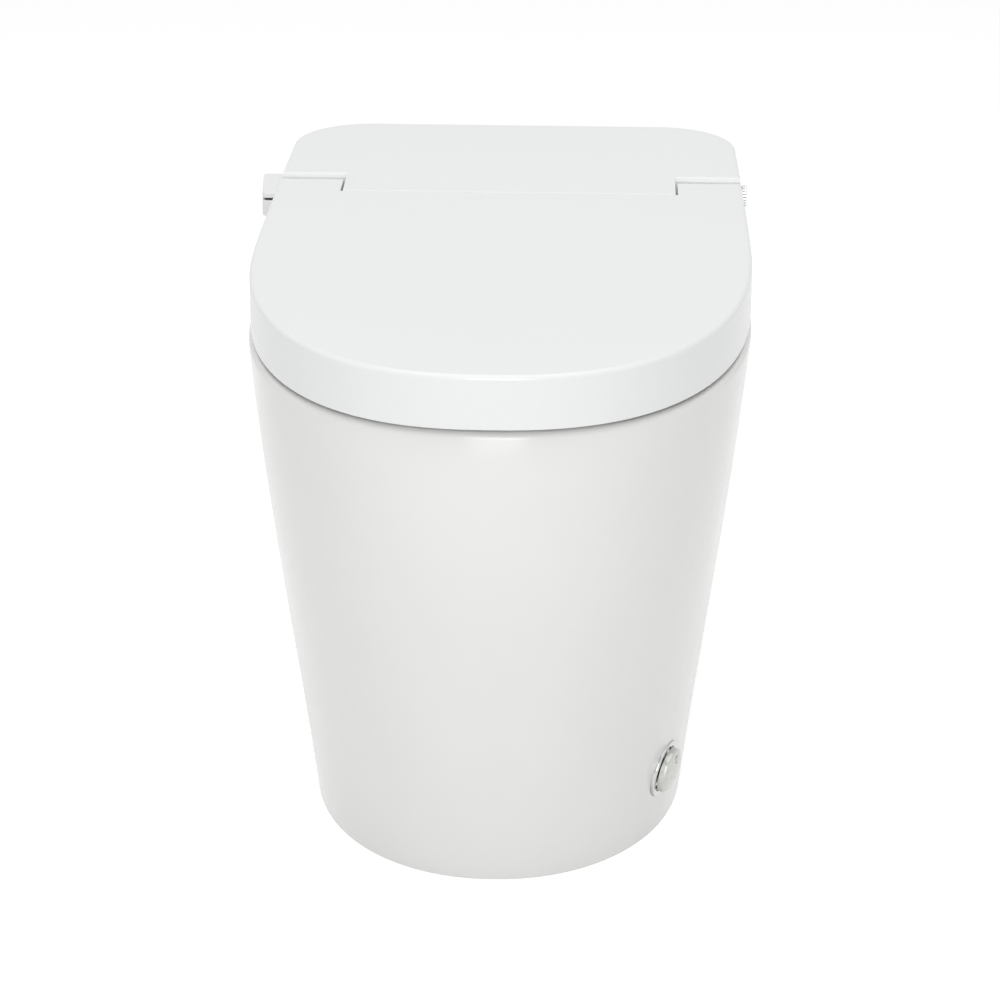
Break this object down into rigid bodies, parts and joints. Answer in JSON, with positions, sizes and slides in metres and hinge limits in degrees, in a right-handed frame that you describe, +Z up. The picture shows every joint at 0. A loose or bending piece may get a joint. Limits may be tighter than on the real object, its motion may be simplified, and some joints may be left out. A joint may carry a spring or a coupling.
{
  "type": "one-piece toilet",
  "caption": "One-piece skirted toilet with built-in bidet seat: glazed D-shaped body, soft-close lid and seat, rear control unit, side key, side knob and a round foot flush button.",
  "frame": {"origin": "on the floor under the centre line, halfway along the toilet's length, on the underside of the cross web of the base", "axes": "+X is the viewer's right from the front, +Y points to the wall behind, +Z is up"},
  "size_m": [0.4233, 0.6866, 0.446],
  "materials": {
    "china": "glossy white glaze",
    "gloss_plastic": "glossy white polypropylene",
    "white_plastic": "moulded white plastic",
    "grey_plastic": "moulded grey plastic",
    "black_plastic": "moulded black plastic",
    "rubber": "soft grey rubber",
    "black_rubber": "black rubber",
    "chrome": "polished chrome plating",
    "satin_metal": "satin steel",
    "steel": "plain steel",
    "brass": "machined brass",
    "circuit_board": "coated circuit board",
    "lens": "clear indicator lens"
  },
  "bodies": {
    "base": {"wand_housing": "white_plastic", "wand_motor": "steel", "drier_duct": "grey_plastic", "china_body": "china", "china_bowl": "china", "china_trap": "china", "outlet_gasket": "black_rubber", "floor_bracket_left": "grey_plastic", "skirt_screw_left": "steel", "floor_bracket_right": "grey_plastic", "skirt_screw_right": "steel", "hinge_pin_left": "steel", "soft_close_damper_left": "black_plastic", "hinge_bracket_left": "steel", "hinge_pin_right": "steel", "soft_close_damper_right": "black_plastic", "hinge_bracket_right": "steel", "rear_cover": "gloss_plastic", "unit_plate": "white_plastic", "unit_anchor_left": "steel", "unit_anchor_right": "steel", "bay_panel": "white_plastic", "drier_fan_case": "black_plastic", "deodoriser_filter": "grey_plastic", "deodoriser_hose": "grey_plastic", "deodoriser_fan_case": "black_plastic", "water_heater": "white_plastic", "valve_block": "black_plastic", "flush_valve": "white_plastic", "flush_hose": "black_rubber", "flush_jet": "brass", "vacuum_breaker": "white_plastic", "control_board": "circuit_board", "power_supply": "steel", "water_inlet": "brass", "power_gland": "black_rubber", "key_box_tray": "gloss_plastic", "key_switch": "black_plastic", "knob_encoder": "black_plastic", "kick_button_ring": "chrome", "kick_button_spring": "steel", "kick_switch_housing": "black_plastic"},
    "seat": {"seat_ring": "gloss_plastic", "seat_bumper_front_left": "rubber", "seat_bumper_front_right": "rubber", "seat_bumper_rear_left": "rubber", "seat_bumper_rear_right": "rubber"},
    "lid": {"lid": "gloss_plastic", "lid_bumper_left": "rubber", "lid_bumper_right": "rubber"},
    "wand": {"wand_shaft": "white_plastic", "wand_tip": "gloss_plastic"},
    "pinion": {"wand_pinion": "grey_plastic"},
    "drier_fan_wheel": {"drier_impeller": "grey_plastic"},
    "deodoriser_fan_wheel": {"deodoriser_impeller": "grey_plastic"},
    "drier_flap": {"drier_flap": "white_plastic"},
    "side_key": {"flush_key": "gloss_plastic"},
    "water_knob": {"water_knob": "chrome"},
    "foot_button": {"kick_button_dome": "satin_metal", "kick_button_lens": "lens"}
  },
  "joints": [
    {"name": "seat_hinge", "type": "hinge", "parent": "base", "child": "seat", "pos_m": [0, 0.154, 0.425], "axis": [-1, 0, 0], "range_deg": [0, 95]},
    {"name": "lid_hinge", "type": "hinge", "parent": "seat", "child": "lid", "pos_m": [0, 0.154, 0.425], "axis": [1, 0, 0], "range_deg": [-95, 0]},
    {"name": "wand_slide", "type": "slide", "parent": "base", "child": "wand", "axis": [0, -0.9659, -0.2588], "range_m": [0, 0.1]},
    {"name": "pinion_spin", "type": "hinge", "parent": "base", "child": "pinion", "pos_m": [0, 0.14718, 0.41163], "axis": [-1, 0, 0], "range_deg": [0, 720]},
    {"name": "drier_fan_spin", "type": "hinge", "parent": "base", "child": "drier_fan_wheel", "pos_m": [0.056, 0.246, 0.4061], "axis": [0, 0, 1], "continuous": true},
    {"name": "deodoriser_fan_spin", "type": "hinge", "parent": "base", "child": "deodoriser_fan_wheel", "pos_m": [-0.084, 0.246, 0.4061], "axis": [0, 0, 1], "continuous": true},
    {"name": "drier_flap_hinge", "type": "hinge", "parent": "base", "child": "drier_flap", "pos_m": [0.04, 0.0787, 0.392], "axis": [-1, 0, 0], "range_deg": [0, 60]},
    {"name": "side_key_press", "type": "slide", "parent": "base", "child": "side_key", "axis": [0, 0, -1], "range_m": [0, 0.0015], "stiffness_N_per_m": 900, "springref_m": -0.002},
    {"name": "water_knob_turn", "type": "hinge", "parent": "base", "child": "water_knob", "pos_m": [0.2, 0.196, 0.424], "axis": [1, 0, 0], "range_deg": [-135, 135]},
    {"name": "foot_button_press", "type": "slide", "parent": "base", "child": "foot_button", "axis": [-0.9162, 0.3576, 0.1806], "range_m": [0, 0.003], "stiffness_N_per_m": 1500, "springref_m": -0.003, "deforming": ["kick_button_spring"]}
  ],
  "couplings": [
    {"joint": "pinion_spin", "follows": "wand_slide", "rad_per_m": 125}
  ]
}
